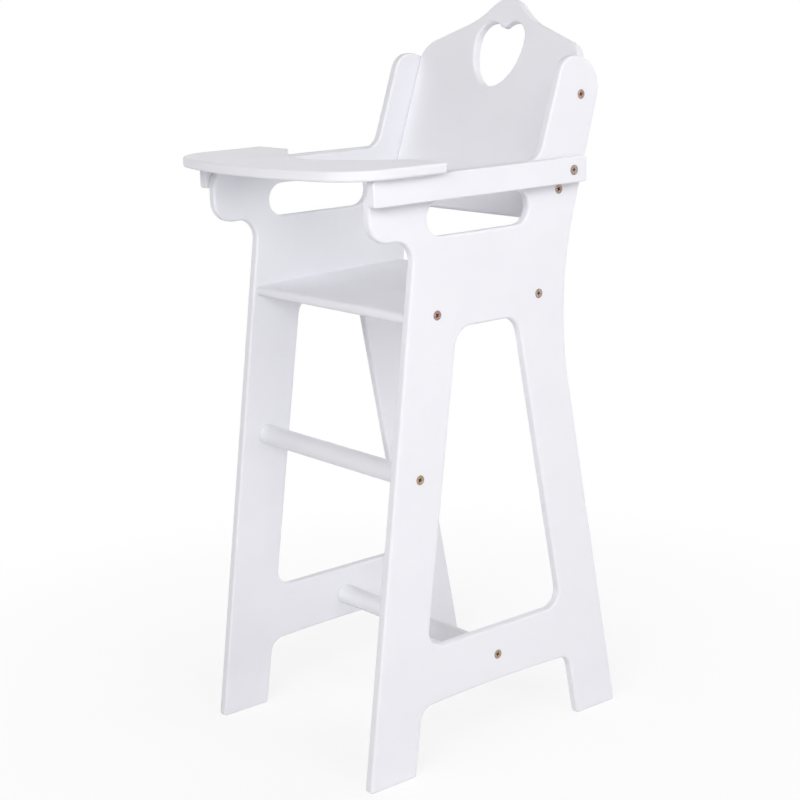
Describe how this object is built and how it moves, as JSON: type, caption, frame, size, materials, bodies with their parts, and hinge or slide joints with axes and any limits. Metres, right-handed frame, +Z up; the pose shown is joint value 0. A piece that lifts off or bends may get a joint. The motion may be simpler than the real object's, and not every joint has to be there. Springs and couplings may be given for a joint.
{
  "type": "doll high chair",
  "caption": "Wooden doll high chair: cut-out side panels, seat, leaning backrest with a heart hole, round rails and a tray on arms that swings up and over the back.",
  "frame": {"origin": "on the floor under the middle of the overall outline", "axes": "+Z up; the front, where the tray is, faces -Y; +X is on the right as seen from the front"},
  "size_m": [0.235, 0.284, 0.5795],
  "materials": {
    "white_paint": "smooth satin white paint over board",
    "screw_copper": "copper-coloured plating, satin",
    "pin_steel": "plain steel"
  },
  "bodies": {
    "chair": {"side_panel_right": "white_paint", "side_panel_left": "white_paint", "backrest": "white_paint", "seat_board": "white_paint", "foot_rest": "white_paint", "lower_stretcher": "white_paint", "tray_pivot_screw_right": "screw_copper", "tray_pivot_screw_left": "screw_copper", "backrest_screws_right": "screw_copper", "backrest_screws_left": "screw_copper", "seat_screws_right": "screw_copper", "seat_screws_left": "screw_copper", "foot_rest_screw_right": "screw_copper", "foot_rest_screw_left": "screw_copper", "stretcher_screw_right": "screw_copper", "stretcher_screw_left": "screw_copper"},
    "tray": {"tray_top": "white_paint", "tray_arm_right": "white_paint", "tray_arm_left": "white_paint", "tray_pins_right": "pin_steel", "tray_pins_left": "pin_steel"}
  },
  "joints": [
    {"name": "tray_swing", "type": "hinge", "parent": "chair", "child": "tray", "pos_m": [0, 0.09349, 0.45], "axis": [-1, 0, 0], "range_deg": [0, 262.8]}
  ]
}
